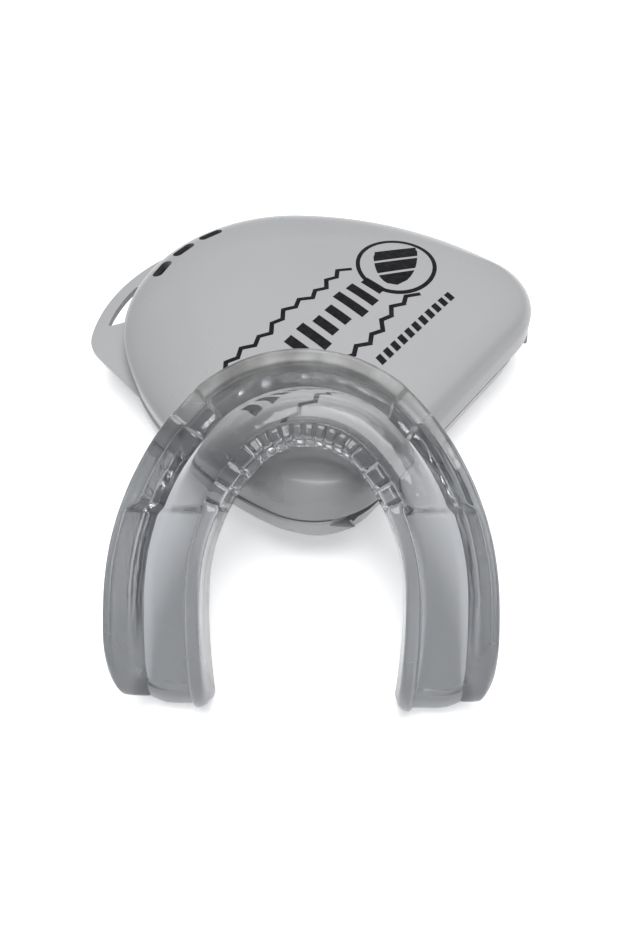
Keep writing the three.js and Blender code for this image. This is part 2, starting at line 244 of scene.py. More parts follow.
CAMERA_TARGET = Vector((0.1, -37.1, 15)) * MM
CAMERA_DISTANCE = 153.6 * MM
CAMERA_ELEVATION = 51.8 * DEG
CAMERA_AZIMUTH = -5.6 * DEG
CAMERA_ROLL = -4.32 * DEG
CAMERA_LENS = 30.35  # millimetres, as its sensor's width is
SENSOR_WIDTH = 36

# ---- Outlines ----


def arc(x, y, radius, start, end, steps):
    angles = [start + (end - start) * i / steps for i in range(steps)]
    return [Vector((x + radius * math.cos(a), y + radius * math.sin(a))) for a in angles]


def mirrored(right, apex):
    left = [Vector((-p.x, p.y)) for p in reversed(right)]
    return right + [apex] + left


def case_outline(shape, inset=0.0, steps=(16, 30, 30)):
    """A straight hinge side, then a corner, a side and a front arc, each tangent to the next."""
    side_x = shape["width"] / 2 - shape["side"]
    nose_y = shape["front"] - shape["nose"]
    side_y = nose_y - math.sqrt((shape["side"] - shape["nose"]) ** 2 - side_x**2)
    corner_y = shape["back"] + shape["corner"]
    corner_x = side_x + math.sqrt((shape["side"] - shape["corner"]) ** 2 - (corner_y - side_y) ** 2)
    corner_end = math.atan2(corner_y - side_y, corner_x - side_x)
    side_end = math.atan2(nose_y - side_y, -side_x)
    right = arc(corner_x, corner_y, shape["corner"] - inset, -math.pi / 2, corner_end, steps[0])
    right += arc(side_x, side_y, shape["side"] - inset, corner_end, side_end, steps[1])
    right += arc(0, nose_y, shape["nose"] - inset, side_end, math.pi / 2, steps[2])
    outline = mirrored(right, Vector((0, shape["front"] - inset)))
    return outline + hinge_side(outline)


def hinge_side(outline, count=24):
    """Points along the straight hinge side, which closes the outline."""
    start, end = outline[-1], outline[0]
    return [start.lerp(end, i / count) for i in range(1, count)]


def blend(first, second, share):
    return [a.lerp(b, share) for a, b in zip(first, second)]


def shrink(outline, share):
    centre = Vector((0, DOME_Y))
    return [centre + (p - centre) * share for p in outline]


def at(outline, z):
    return [Vector((p.x, p.y, z)) for p in outline]


def soften(points, closed=False, steps=6, spacing=1.2):
    """Rounds each corner (a, b, softness) of a polyline and splits its straight runs."""
    count = len(points)
    out = []
    for i, (a, b, softness) in enumerate(points):
        corner = Vector((a, b))
        inner = closed or 0 < i < count - 1
        if not inner or softness == 0:
            out.append([corner])
            continue
        before = Vector(points[i - 1][:2])
        after = Vector(points[(i + 1) % count][:2])
        start = corner + (before - corner).normalized() * softness
        end = corner + (after - corner).normalized() * softness
        shares = [step / steps for step in range(steps + 1)]
        out.append([start.lerp(corner, t).lerp(corner.lerp(end, t), t) for t in shares])
    line = []
    for i, run in enumerate(out):
        line += run
        if not closed and i == count - 1:
            break
        target = out[(i + 1) % count][0]
        pieces = max(1, round((target - run[-1]).length / spacing))
        line += [run[-1].lerp(target, k / pieces) for k in range(1, pieces)]
    return line


# ---- Meshes ----


def new_object(name, mesh):
    obj = bpy.data.objects.new(name, mesh)
    bpy.context.scene.collection.objects.link(obj)
    return obj


def mesh_from(name, vertices, faces):
    mesh = bpy.data.meshes.new(name)
    mesh.from_pydata([tuple(v) for v in vertices], [], faces)
    made = bmesh.new()
    made.from_mesh(mesh)
    bmesh.ops.remove_doubles(made, verts=made.verts, dist=MERGE)
    bmesh.ops.recalc_face_normals(made, faces=made.faces)
    made.to_mesh(mesh)
    made.free()
    return mesh


def tube_faces(rings):
    """The quads between neighbouring rings of equal point count."""
    count = len(rings[0])
    faces = []
    for r in range(len(rings) - 1):
        for i in range(count):
            j = (i + 1) % count
            faces.append((r * count + i, r * count + j, (r + 1) * count + j, (r + 1) * count + i))
    return faces


def skin(name, rings, flat_ends=False):
    """A closed surface through rings, with a flat face or a pole at each end."""
    count = len(rings[0])
    vertices = [v for ring in rings for v in ring]
    faces = tube_faces(rings)
    for ring, turn in ((0, -1), (len(rings) - 1, 1)):
        end = range(ring * count, ring * count + count)
        if flat_ends:
            faces.append(tuple(end)[::turn])
            continue
        pole = len(vertices)
        vertices.append(sum(rings[ring], Vector((0, 0, 0))) / count)
        faces += [(*(end[i], end[(i + 1) % count])[::turn], pole) for i in range(count)]
    return new_object(name, mesh_from(name, vertices, faces))


def rounded_box(name, low, high, softness):
    made = bmesh.new()
    bmesh.ops.create_cube(made, size=1)
    size = Vector(high) - Vector(low)
    middle = (Vector(high) + Vector(low)) / 2
    bmesh.ops.scale(made, vec=size, verts=made.verts)
    bmesh.ops.translate(made, vec=middle, verts=made.verts)
    if softness:
        bmesh.ops.bevel(made, geom=made.edges[:], offset=softness, segments=3, profile=0.5, affect="EDGES")
    mesh = bpy.data.meshes.new(name)
    made.to_mesh(mesh)
    made.free()
    return new_object(name, mesh)


def rod(name, x, radius, length, softness=0.2, sides=40):
    """A rod along the hinge axis with rounded ends."""
    half = length / 2
    corners = [(-half, 0, 0), (-half, radius, softness), (half, radius, softness), (half, 0, 0)]
    profile = soften(corners, spacing=1)
    rings = []
    for along, reach in profile[1:-1]:
        turns = [2 * math.pi * i / sides for i in range(sides)]
        rings.append([
            Vector((x + along, AXIS_Y + reach * math.cos(t), AXIS_Z + reach * math.sin(t))) for t in turns
        ])
    return skin(name, rings)


def plate(name, outline, z0, z1, bevel):
    """A flat plate with rounded edges."""
    normals = outline_normals(outline)
    part = bevel * 0.3
    levels = [(z0, bevel), (z0 + part, part), (z0 + bevel, 0)]
    levels += [(z1 - bevel, 0), (z1 - part, part), (z1, bevel)]
    rings = []
    for z, inset in levels:
        rings.append([Vector((p.x - n.x * inset, p.y - n.y * inset, z)) for p, n in zip(outline, normals)])
    return skin(name, rings, flat_ends=True)


def outline_normals(outline):
    """Outward normals of an anticlockwise outline."""
    normals = []
    for i in range(len(outline)):
        along = (outline[(i + 1) % len(outline)] - outline[i - 1]).normalized()
        normals.append(Vector((along.y, -along.x)))
    return normals


def combine(target, tools, operation):
    """Joins the tools to the target or cuts them away, then removes slivers that the cut leaves."""
    for tool in tools:
        modifier = target.modifiers.new(operation, "BOOLEAN")
        modifier.operation = operation
        modifier.solver = "EXACT"
        modifier.object = tool
    graph = bpy.context.evaluated_depsgraph_get()
    mesh = bpy.data.meshes.new_from_object(target.evaluated_get(graph))
    target.modifiers.clear()
    made = bmesh.new()
    made.from_mesh(mesh)
    bmesh.ops.remove_doubles(made, verts=made.verts, dist=WELD)
    bmesh.ops.dissolve_degenerate(made, edges=made.edges, dist=WELD)
    made.to_mesh(mesh)
    made.free()
    target.data = mesh
    for tool in tools:
        bpy.data.objects.remove(tool)
    return target


def finish_piece(obj, matrix, body, material, nodes, crease=32):
    """Puts a piece in place, smooths it, and ties it to its CAD body."""
    mesh = obj.data
    mesh.transform(matrix)
    for polygon in mesh.polygons:
        polygon.use_smooth = True
    mesh.set_sharp_from_angle(angle=crease * DEG)
    mesh.materials.clear()
    mesh.materials.append(material)
    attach(obj, body)
    if nodes:
        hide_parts(*nodes)


# ---- Case ----


def rim_ring(inset, z):
    return at(case_outline(RIM, inset), z)


def base_profile():
    """(inset, z, softness) from the middle of the floor inside to the middle of the underside."""
    inside = [(8.6, 1.8, 0), (7.6, 1.8, 0.8), (5.8, 4.2, 1), (4.1, 8.8, 1), (3.6, 12.5, 0.8)]
    lip = [(3.6, LIP_TOP, 0.35), (2.4, LIP_TOP, 0.35), (2.4, BAND_TOP, 0.15)]
    outside = [(0.2 + SKIN, BAND_TOP, 0.45), (0.2 + SKIN, BAND_BOTTOM, 0.4), (2.5, BAND_BOTTOM - 0.3, 0.5)]
    under = [(4.2, 2.4, 1.4), (5.6, 0.6, 0.9), (7.6, 0, 0.8), (8.6, 0, 0)]
    return inside + lip + outside + under


def ear_outline():
    """A round outer edge, a soft turn at the tip and a straight run back to the rim."""
    tip, corner, root = Vector(EAR_TIP), Vector(EAR_CORNER), Vector(EAR_ROOT)
    line = arc(EAR["x"], EAR["y"], EAR["radius"], *EAR_ARC, 40)
    start = line[-1]
    line += [start.lerp(tip, i / 8).lerp(tip.lerp(corner, i / 8), i / 8) for i in range(1, 9)]
    line += [corner.lerp(root, i / 6) for i in range(1, 7)]
    return line + [Vector(p) for p in EAR_INSIDE]


def hole_outline():
    """The space between the ear's band and the rim, with rounded corners."""
    nose_y = RIM["front"] - RIM["nose"]
    outer = arc(EAR["x"], EAR["y"], EAR["radius"] - EAR["band"], *HOLE_OUTER_ARC, HOLE_STEPS)
    inner = arc(0, nose_y, RIM["nose"] - HOLE_INTO_RIM, *HOLE_INNER_ARC, HOLE_STEPS)
    line = []
    for run in (outer, inner):
        line += [(p.x, p.y, HOLE_CORNER if p in (run[0], run[-1]) else 0) for p in run]
    return soften(line, closed=True, steps=4, spacing=1)


def bores():
    return [rod("bore", side * HINGE_X, BORE["radius"], BORE["length"], 0) for side in (-1, 1)]


def case_base():
    rings = [rim_ring(p.x, p.y) for p in soften(base_profile(), spacing=1.5)]
    base = skin("case_base_looks", rings)
    ear = plate("ear", ear_outline(), *EAR["z"], EAR["bevel"])
    hole = plate("hole", hole_outline(), BAND_BOTTOM - 1, SEAM_Z, CUTTER_BEVEL)
    bay = rounded_box("bay", (-HINGE_BAY, -1, LEDGE_Z), (HINGE_BAY, FENCE["y"], BAY_TOP), 0)
    combine(base, [ear], "UNION")
    combine(base, [hole, bay, edge_sweep()], "DIFFERENCE")
    lugs = [lug(side * HINGE_X + end * LUG["offset"]) for side in (-1, 1) for end in (-1, 1)]
    combine(base, [shelf(), fence(), *lugs], "UNION")
    return combine(base, bores(), "DIFFERENCE")


def shelf():
    """The ledge's floor, carried past the wall to the fence."""
    low = (-SHELF["half"], SHELF["y"], LEDGE_Z - SHELF["thickness"])
    high = (SHELF["half"], FENCE["y"] + FENCE["thickness"], LEDGE_Z + SHELF["above_ledge"])
    return rounded_box("shelf", low, high, 0)


def fence():
    """The wall between the hinge bay and the inside."""
    low = (-FENCE["half"], FENCE["y"], LEDGE_Z - FENCE["sunk"])
    high = (FENCE["half"], FENCE["y"] + FENCE["thickness"], BAND_TOP - FENCE["below_band"])
    return rounded_box("fence", low, high, FENCE["softness"])


def edge_sweep():
    """Cutter whose floor rises from the hinge ledge to the top of the band."""
    half = RIM["width"] / 2
    top = LIP_TOP + 1
    right = [(SWEEP["ledge"], LEDGE_Z), (SWEEP["band"], BAND_TOP), (half, BAND_TOP), (half, top)]
    left = [(-x, z) for x, z in reversed(right)]
    cutter = plate("sweep", [Vector(p) for p in right + left], -SWEEP["y"], 1, CUTTER_BEVEL)
    cutter.data.transform(Matrix.Rotation(90 * DEG, 4, "X"))
    return cutter


def lug(x):
    """A hinge lug of the base: a short rod and the arm that carries it."""
    half = LUG["length"] / 2 - ARM_INSET
    low = (x - half, AXIS_Y + LUG_ARM["past_axis"], AXIS_Z - LUG_ARM["below"])
    high = (x + half, FENCE["y"] + LUG_ARM["into_fence"], AXIS_Z + LUG_ARM["above"])
    body = rod("lug", x, KNUCKLE["radius"], LUG["length"])
    return combine(body, [rounded_box("arm", low, high, ARM_SOFTNESS)], "UNION")


def lid_rings(inset, drop, steps):
    """From the lid's straight edge, over its round wall and the crease, to the middle of the dome."""
    rim = case_outline(RIM, LID_INSET + inset)
    crease = case_outline(TOP, inset)
    top = LID_TOP - SHOULDER_Z
    soft = CREASE_SOFTNESS

    def wall(share):
        turned = (1 - math.cos(share * WALL_ARC)) / (1 - math.cos(WALL_ARC))
        rise = math.sin(share * WALL_ARC) / math.sin(WALL_ARC)
        z = STRAIGHT_TOP + (SHOULDER_Z - STRAIGHT_TOP) * rise
        return at(blend(rim, crease, turned), z - drop)

    def dome(share):
        return at(shrink(crease, share), SHOULDER_Z + top * (1 - share**2) - drop)

    rings = [wall(i / steps * (1 - soft)) for i in range(steps + 1)]
    before, middle, after = rings.pop(), wall(1), dome(1 - soft / 2)
    for i in range(steps // 2 + 1):
        t = i / (steps // 2)
        rings.append(blend(blend(before, middle, t), blend(middle, after, t), t))
    rings += [dome((1 - soft / 2) * (1 - i / steps)) for i in range(1, steps)]
    return rings


def case_lid():
    edge = LID_INSET + LID_WALL
    rings = list(reversed(lid_rings(0, 0, OUTSIDE_STEPS)))
    rings += [rim_ring(LID_INSET + inwards, SEAM_Z + above) for inwards, above in LID_EDGE_OUTSIDE]
    rings += [rim_ring(edge + inwards, SEAM_Z + above) for inwards, above in LID_EDGE_INSIDE]
    rings += lid_rings(LID_WALL, LID_CEILING, INSIDE_STEPS)
    lid = skin("case_lid_looks", rings)
    combine(lid, [knuckle(side * HINGE_X) for side in (-1, 1)], "UNION")
    return combine(lid, bores() + vents(), "DIFFERENCE")


def knuckle(x):
    """A hinge knuckle of the lid: a rod and the gusset that joins it to the wall."""
    half = KNUCKLE["length"] / 2
    body = rod("knuckle", x, KNUCKLE["radius"], KNUCKLE["length"])
    low = (x - half + ARM_INSET, LID_INSET + LID_WALL / 2, AXIS_Z + GUSSET["low"])
    high = (x + half - ARM_INSET, AXIS_Y + GUSSET["past_axis"], AXIS_Z + GUSSET["high"])
    return combine(body, [rounded_box("gusset", low, high, ARM_SOFTNESS)], "UNION")


def slot_outline():
    reach = (SLOT["length"] - SLOT["height"]) / 2
    radius = SLOT["height"] / 2
    right = arc(reach, 0, radius, -math.pi / 2, math.pi / 2, 14)
    return right + arc(-reach, 0, radius, math.pi / 2, 1.5 * math.pi, 14)


def vent_places():
    """One matrix per slot: its Z axis leans back and its X axis follows the front of the lid."""
    places = []
    for i in range(VENTS["count"]):
        turn = (i - (VENTS["count"] - 1) / 2) * VENTS["spacing"] / VENTS["arc"]
        place = Matrix.Translation((
            VENTS["arc"] * math.sin(turn),
            VENTS["y"] - VENTS["arc"] * (1 - math.cos(turn)),
            VENTS["z"],
        ))
        places.append(place @ Matrix.Rotation(-turn, 4, "Z") @ Matrix.Rotation(SLOT["lean"], 4, "X"))
    return places


def vents():
    """The slot cutters."""
    cutters = []
    for place in vent_places():
        cutter = plate("vent", slot_outline(), -SLOT["reach"], SLOT["reach"], CUTTER_BEVEL)
        cutter.data.transform(place)
        cutters.append(cutter)
    return cutters


# ---- Print on the lid ----


def ink_patch(made, lid_tree, place, columns, rows):
    """A thin patch of ink on the lid: place(u, v) gives its points for u and v from 0 to 1."""
    layers = []
    for lift in (INK["thickness"], -INK["sunk"]):
        grid = []
        for i in range(columns + 1):
            for j in range(rows + 1):
                x, y = place(i / columns, j / rows)
                hit = lid_tree.ray_cast(Vector((x, y, ABOVE_LID)), Vector((0, 0, -1)))[0]
                grid.append(made.verts.new((x, y, hit.z + lift)))
        layers.append(grid)
    top, under = layers
    step = rows + 1
    for i in range(columns):
        for j in range(rows):
            quad = (i * step + j, (i + 1) * step + j, (i + 1) * step + j + 1, i * step + j + 1)
            made.faces.new([top[k] for k in quad])
            made.faces.new([under[k] for k in reversed(quad)])
    edge = [i * step for i in range(columns)] + [columns * step + j for j in range(rows)]
    edge += [i * step + rows for i in range(columns, 0, -1)] + [j for j in range(rows, 0, -1)]
    for a, b in zip(edge, edge[1:] + edge[:1]):
        made.faces.new((top[b], top[a], under[a], under[b]))


def bar(x, low, high, width, slant):
    """A slanted bar from y = low to y = high."""

    def place(u, v):
        y = low + (high - low) * v
        return x + width * (u - 0.5) + slant * (y - low), y

    return place


def stroke(start, end, width):
    """A straight line of ink."""
    along = (end - start).normalized()
    side = Vector((-along.y, along.x))

    def place(u, v):
        return tuple(start.lerp(end, u) + side * width * (v - 0.5))

    return place


def badge_point(across, along):
    """A point of the oval badge. Its long axis lies along Y of the whole object."""
    x = across * BADGE["half_width"]
    y = along * BADGE["half_depth"]
    cos, sin = math.cos(BADGE["turn"]), math.sin(BADGE["turn"])
    return BADGE["centre"][0] + x * cos - y * sin, BADGE["centre"][1] + x * sin + y * cos


def badge_ring(start, end):
    """A stretch of the badge's line, from one angle to another."""

    def place(u, v):
        angle = start + (end - start) * u
        reach = 1 - BADGE["line"] / BADGE["half_width"] * (1 - v)
        return badge_point(reach * math.cos(angle), reach * math.sin(angle))

    return place


def shield_part(start, end):
    """A slice of the badge's shield, from one share of its height to another."""

    def place(u, v):
        share = start + (end - start) * v
        round_part = math.sqrt(max(1 - (1 - share) ** SHIELD["roundness"], 0.0001))
        narrower = SHIELD_TOP["narrower"] if share > SHIELD_TOP["from"] else 1
        across = (u - 0.5) * 2 * SHIELD["half"] * round_part * narrower
        return badge_point(across, SHIELD["low"] + SHIELD["height"] * share + across * SHIELD["skew"])

    return place


def zigzag(start, end, teeth, height, width):
    """Strokes up and down along a line, each a little longer or shorter than the last."""
    a, b = Vector(start), Vector(end)
    side = (b - a).orthogonal().normalized()
    corners = []
    for i in range(teeth * 2 + 1):
        reach = height * (0.55 + 0.45 * math.sin(i * 2.3)) * (1 if i % 2 else -1)
        corners.append(a.lerp(b, i / (teeth * 2)) + side * reach)
    return [stroke(p, q + (q - p).normalized() * width * 0.4, width) for p, q in zip(corners, corners[1:])]


def lid_print(lid_tree):
    """An oval badge with a striped shield, a row of slanted bars between zigzags, and a row of dashes."""
    made = bmesh.new()
    for i in range(BADGE_PARTS):
        turn = 2 * math.pi / BADGE_PARTS
        ink_patch(made, lid_tree, badge_ring(i * turn, (i + 1) * turn), 20, 1)
    for start, end in SHIELD_STRIPES:
        ink_patch(made, lid_tree, shield_part(start, end), 12, 4)
    for i in range(BARS["count"]):
        half = BAR_HALF["mean"] + BAR_HALF["change"] * math.sin(i * 1.7)
        x = BARS["x"] + BARS["pitch"] * i
        place = bar(x, BARS["y"] - half, BARS["y"] + half, BARS["width"], BARS["slant"])
        ink_patch(made, lid_tree, place, 2, 8)
    for line in ZIGZAGS:
        for place in zigzag(*line):
            ink_patch(made, lid_tree, place, 4, 1)
    for i in range(DASHES["count"]):
        x = DASHES["x"] + DASHES["pitch"] * i
        ink_patch(made, lid_tree, bar(x, *DASHES["y"], DASHES["width"], DASHES["slant"]), 2, 2)
    mesh = bpy.data.meshes.new("lid_print")
    bmesh.ops.recalc_face_normals(made, faces=made.faces)
    made.to_mesh(mesh)
    made.free()
    return new_object("lid_print", mesh)


# ---- Guard ----


def guard_point(depth, leg=None, side=None, nose=None, moved=0.0):
    """A point of the right half on its leg, side or nose arc, at this depth and moved further inwards."""
    length, width = GUARD_RIM["length"], GUARD_RIM["width"]
    side_x = width / 2 - GUARD_RIM["side"]
    leg_x = width / 2 - GUARD_RIM["leg"]
    nose_s = length - GUARD_RIM["nose"]
    side_s = nose_s - math.sqrt((GUARD_RIM["side"] - GUARD_RIM["nose"]) ** 2 - side_x**2)
    side_end = math.atan2(nose_s - side_s, -side_x)
    if leg is not None:
        s = leg_start(depth) + (side_s - leg_start(depth)) * leg
        radius = GUARD_RIM["leg"] - depth - moved
        return leg_x + math.sqrt(radius**2 - (s - side_s) ** 2), s
    if side is not None:
        angle = side_end * side
        radius = GUARD_RIM["side"] - depth - moved
        return side_x + radius * math.cos(angle), side_s + radius * math.sin(angle)
    angle = side_end + (math.pi / 2 - side_end) * nose
    radius = GUARD_RIM["nose"] - depth - moved
    return radius * math.cos(angle), nose_s + radius * math.sin(angle)


def leg_start(depth):
    """Where a leg begins at this depth: its end is rounded at both corners."""
    outer, inner = LEG_CORNER["outer"], LEG_CORNER["inner"]
    from_outside = outer - min(max(depth, 0), outer)
    from_inside = inner - min(max(BAND - depth, 0), inner)
    by_outer = math.sqrt(outer**2 - from_outside**2) - outer
    by_inner = math.sqrt(inner**2 - from_inside**2) - inner
    return SKIN - min(by_outer, by_inner)


def end_rounding(height, from_end):
    """How far a leg's top edge drops and its underside rises close to the leg's end."""
    curve = quarter_round(from_end / LEG_ROUND["length"])
    upper = min(height / LEG_ROUND["underside"], 1)
    wall = max(0, height - FLOOR_HEIGHT) / OUTER_HEIGHT
    fall = WALL_FALL["drop"] * quarter_round(from_end / WALL_FALL["length"]) * wall
    return curve * (LEG_ROUND["rise"] * (1 - upper) - LEG_ROUND["drop"] * upper) - fall


def quarter_round(share):
    """From 1 at the end to 0 at a share of 1 and beyond, like a quarter circle."""
    return 1 - math.sqrt(1 - max(0.0, 1 - share) ** 2)


def smooth(value, low, high):
    """From 0 to 1 as the value goes from low to high, with soft ends."""
    t = min(max((value - low) / (high - low), 0), 1)
    return t * t * (3 - 2 * t)


def ribs(along):
    """Groove depth share and slant of the facets on the arch's inner rim, this far from the middle."""
    beyond = abs(along) - SIDE_RIB["from"]
    rib = RIB if beyond < 0 else SIDE_RIB
    count = beyond / rib["pitch"]
    facet = math.floor(count)
    across = count - facet - 0.5
    groove = 1 - smooth((0.5 - abs(across)) * rib["pitch"], 0, rib["half"])
    slant = across * math.sin(facet * 2.4 + 1) + 0.5 * math.sin(facet * 5.1)
    return groove, slant


def block(along):
    """1 on the thicker stretches of the outer wall and 0 beside them."""
    reach = abs(abs(along) - BLOCK["along"])
    return 1 - smooth(reach, BLOCK["half"] - 0.4, BLOCK["half"] + 0.4)


def guard_stations():
    """(leg, side, nose) places from the right leg's end to the middle of the front."""
    legs = [((i / STATIONS["leg"]) ** LEG_SPREAD, None, None) for i in range(STATIONS["leg"])]
    sides = [(None, i / STATIONS["side"], None) for i in range(STATIONS["side"])]
    noses = [(None, None, i / STATIONS["nose"]) for i in range(STATIONS["nose"] + 1)]
    return legs + sides + noses


def guard_section(leg, side, nose):
    """The points of one cross section, each with its depth, height and share of the front's section."""
    out = []
    for low, high in zip(section_line(LEG_SECTION), section_line(FRONT_SECTION)):
        share = 0.5
        for _ in range(3):
            depth = low.x + (high.x - low.x) * share
            s = guard_point(depth, leg, side, nose)[1]
            share = smooth(s, STEP["s"] - STEP["width"], STEP["s"] + STEP["width"])
        depth, height = low.lerp(high, share)
        out.append((depth, height, share))
    return out


def section_line(corners):
    """A cross section with round corners and evenly split straight runs."""
    line = soften(corners, closed=True, steps=CORNER_STEPS, spacing=math.inf)
    size = CORNER_STEPS + 1
    out = []
    for i in range(0, len(line), size):
        run = line[i : i + size]
        after = line[(i + size) % len(line)]
        out += run
        out += [run[-1].lerp(after, k / RUN_PARTS) for k in range(1, RUN_PARTS)]
    return out


def relief(depth, height, front, inner_along, outer_along):
    """How far the ribs and blocks move a section point, in depth and in height."""
    groove, slant = ribs(inner_along)
    face = smooth(depth, *RIB_FACE["depth"]) * smooth(height, *RIB_FACE["height"])
    crown = smooth(depth, *RIB_CROWN["depth"]) * smooth(height, *RIB_CROWN["height"])
    outer = 1 - smooth(depth, *BLOCK_WALL["end"])
    wall = smooth(depth, *BLOCK_WALL["depth"]) * outer * smooth(height, *BLOCK_WALL["height"])
    rim = outer * smooth(height, *BLOCK_RIM_HEIGHT)
    thicker = block(outer_along) * front
    sunk = RIB["depth"] * groove + RIB["slant"] * (slant + 1) / 2
    depth_change = BLOCK["step"] * wall * thicker - sunk * face * front
    height_change = -sunk * crown * front - BLOCK["drop"] * rim * thicker
    return depth_change, height_change


def run_lengths(points):
    """Distance of each point from the last one, along the line."""
    lengths = [0.0]
    for a, b in zip(reversed(points[:-1]), reversed(points[1:])):
        lengths.append(lengths[-1] + math.dist(a, b))
    return lengths[::-1]


def leg_lip(depth, height, from_end):
    """How far the channel's floor rises to the lip at a leg's end."""
    between_faces = smooth(depth, *LIP_OUTER) * (1 - smooth(depth, *LIP_INNER))
    near = 1 - smooth(from_end, LEG_LIP["length"] - LEG_LIP["slope"], LEG_LIP["length"])
    above_underside = smooth(height, *LIP_ABOVE)
    return max(0, LEG_LIP["height"] - height) * between_faces * above_underside * near


def guard_rings():
    stations = guard_stations()
    inner = run_lengths([guard_point(BAND, *station) for station in stations])
    outer = run_lengths([guard_point(0, *station) for station in stations])
    rings = []
    for station, inner_along, outer_along in zip(stations, inner, outer):
        ring = []
        for depth, height, front in guard_section(*station):
            wave = abs(noise.noise(Vector((depth, height, outer_along)) * WAVE["scale"]) * WAVE["height"])
            inward = wave if depth < 1 else -wave
            depth_change, height_change = relief(depth, height, front, inner_along, outer_along)
            x, s = guard_point(depth, *station, depth_change + inward)
            from_end = s - leg_start(depth)
            height += height_change + leg_lip(depth, height, from_end)
            ring.append(Vector((x, s, height + end_rounding(height, from_end))))
        rings.append(ring)
    left = [[Vector((-p.x, p.y, p.z)) for p in ring] for ring in reversed(rings[:-1])]
    return rings + left


def leg_cap(depths, first):
    """Closes a leg's end with upright triangles between the top of its section and its underside.

    The outer and the inner face are fans round a point in the rounded corner above each.
    """
    count = len(depths)
    outer_low = CORNER_STEPS
    outer_high = CORNER_TO_CORNER + 4
    inner_high = 7 * CORNER_TO_CORNER + 3
    inner_low = 8 * CORNER_TO_CORNER
    faces = [(outer_high, k, k + 1) for k in range(outer_low, outer_high - 1)]
    faces += [(inner_high, k, k + 1) for k in range(inner_high + 1, inner_low)]
    top = list(range(outer_high, inner_high + 1))
    under = [k % count for k in range(count + outer_low, inner_low - 1, -1)]
    i = j = 0
    while i < len(top) - 1 or j < len(under) - 1:
        along_top = j == len(under) - 1 or (i < len(top) - 1 and depths[top[i + 1]] < depths[under[j + 1]])
        step = top[i + 1] if along_top else under[j + 1]
        faces.append((top[i], under[j], step))
        i, j = (i + 1, j) if along_top else (i, j + 1)
    return [tuple(first + k for k in face) for face in faces]


def mouthguard():
    rings = guard_rings()
    vertices = [v for ring in rings for v in ring]
    depths = [depth for depth, height, front in guard_section(0, None, None)]
    faces = tube_faces(rings)
    faces += leg_cap(depths, 0)
    faces += leg_cap(depths, len(vertices) - len(depths))
    return new_object("mouthguard_looks", mesh_from("mouthguard_looks", vertices, faces))


# ---- Materials ----


def material(name):
    made = bpy.data.materials.new(name)
    made.use_nodes = True
    tree = made.node_tree
    return made, tree, tree.nodes["Principled BSDF"]


def noise_node(tree, scale, detail=3.0, stretch=(1, 1, 1)):
    coordinates = tree.nodes.new("ShaderNodeTexCoord")
    mapping = tree.nodes.new("ShaderNodeMapping")
    mapping.inputs["Scale"].default_value = stretch
    texture = tree.nodes.new("ShaderNodeTexNoise")
    texture.inputs["Scale"].default_value = scale
    texture.inputs["Detail"].default_value = detail
    tree.links.new(coordinates.outputs["Object"], mapping.inputs["Vector"])
    tree.links.new(mapping.outputs["Vector"], texture.inputs["Vector"])
    return texture.outputs["Fac"]


def ramp(tree, value, low, high, start=0.35, end=0.65):
    """Maps a value to a range of numbers or colours."""
    node = tree.nodes.new("ShaderNodeMapRange")
    node.inputs["From Min"].default_value = start
    node.inputs["From Max"].default_value = end
    tree.links.new(value, node.inputs["Value"])
    if isinstance(low, (int, float)):
        node.inputs["To Min"].default_value = low
        node.inputs["To Max"].default_value = high
        return node.outputs["Result"]
    mix = tree.nodes.new("ShaderNodeMix")
    mix.data_type = "RGBA"
    mix.inputs["A"].default_value = (*low, 1)
    mix.inputs["B"].default_value = (*high, 1)
    tree.links.new(node.outputs["Result"], mix.inputs["Factor"])
    return colour_output(mix)


def colour_output(mix):
    """The colour result of a mix node, whose other results share its name."""
    return next(out for out in mix.outputs if out.type == "RGBA")


def total(tree, first, second):
    """The sum of two values."""
    node = tree.nodes.new("ShaderNodeMath")
    tree.links.new(first, node.inputs[0])
    tree.links.new(second, node.inputs[1])
    return node.outputs["Value"]


def add_bump(tree, shader, value, strength, distance):
    bump = tree.nodes.new("ShaderNodeBump")
    bump.inputs["Strength"].default_value = strength
    bump.inputs["Distance"].default_value = distance
    tree.links.new(value, bump.inputs["Height"])
    tree.links.new(bump.outputs["Normal"], shader.inputs["Normal"])


def position(tree):
    """A node whose outputs are the X, Y and Z of the place that is shaded."""
    coordinates = tree.nodes.new("ShaderNodeTexCoord")
    place = tree.nodes.new("ShaderNodeSeparateXYZ")
    tree.links.new(coordinates.outputs["Object"], place.inputs["Vector"])
    return place


def case_plastic(name, colour, lighter, roughness, painted_wall_shade=1.0):
    """Moulded polypropylene: faint flow marks, orange-peel gloss, and painted shade, a colour darkened low
    on the walls.
    """
    made, tree, shader = material(name)
    marks = noise_node(tree, 35, 2, (1, 1, 2.5))
    tone = tree.nodes.new("ShaderNodeMix")
    tone.data_type = "RGBA"
    tone.blend_type = "MULTIPLY"
    tone.inputs["Factor"].default_value = 1
    # Painted shade: the colour is darkened below a stretch of height, so the walls read as shaded.
    shade = ramp(tree, position(tree).outputs["Z"], (painted_wall_shade,) * 3, (1, 1, 1), *PAINTED_SHADE_Z)
    tree.links.new(ramp(tree, marks, colour, lighter, 0.2, 0.8), tone.inputs["A"])
    tree.links.new(shade, tone.inputs["B"])
    tree.links.new(colour_output(tone), shader.inputs["Base Color"])
    gloss = ramp(tree, noise_node(tree, 120, 2), roughness, roughness + 0.06, 0.2, 0.8)
    tree.links.new(gloss, shader.inputs["Roughness"])
    add_bump(tree, shader, noise_node(tree, 1500, 1), 0.08, 0.00003)
    shader.inputs["IOR"].default_value = 1.49
    return made


